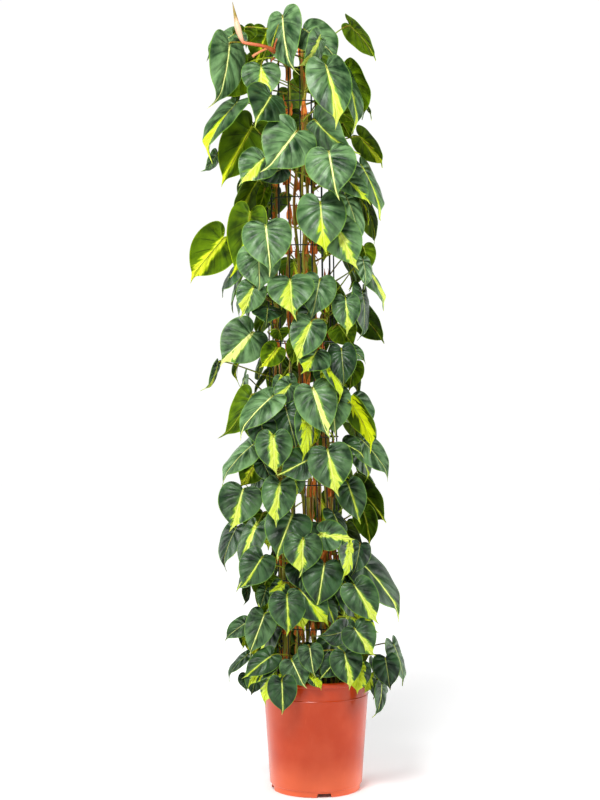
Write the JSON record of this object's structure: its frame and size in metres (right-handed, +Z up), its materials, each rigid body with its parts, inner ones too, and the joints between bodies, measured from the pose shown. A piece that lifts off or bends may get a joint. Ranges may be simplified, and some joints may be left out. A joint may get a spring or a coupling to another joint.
{
  "type": "potted brasil philodendron",
  "caption": "Tall variegated climbing philodendron on a wire mesh tube, in a terracotta-coloured nursery pot of soil that stands on its foot.",
  "frame": {"origin": "on the floor under the centre of the pot, on the flat pad under its floor", "axes": "+Z up along the pot's axis and the plant's height, -Y toward the side seen in the picture, +X to that viewer's right"},
  "size_m": [0.4709, 0.3793, 1.6741],
  "materials": {
    "pot": "satin moulded terracotta-orange plastic",
    "soil": "rough moist potting soil",
    "wire": "dark green coated steel wire",
    "foliage": "glossy green leaves with lime-yellow to cream variegation"
  },
  "bodies": {
    "root": {"pot": "pot", "soil": "soil", "mesh_column": "wire", "vine_01": "foliage", "vine_02": "foliage", "vine_03": "foliage", "vine_04": "foliage", "vine_05": "foliage", "vine_06": "foliage", "vine_07": "foliage", "vine_08": "foliage", "vine_09": "foliage", "vine_10": "foliage", "vine_11": "foliage", "vine_12": "foliage", "vine_13": "foliage", "vine_14": "foliage", "vine_15": "foliage", "vine_16": "foliage"}
  },
  "joints": []
}
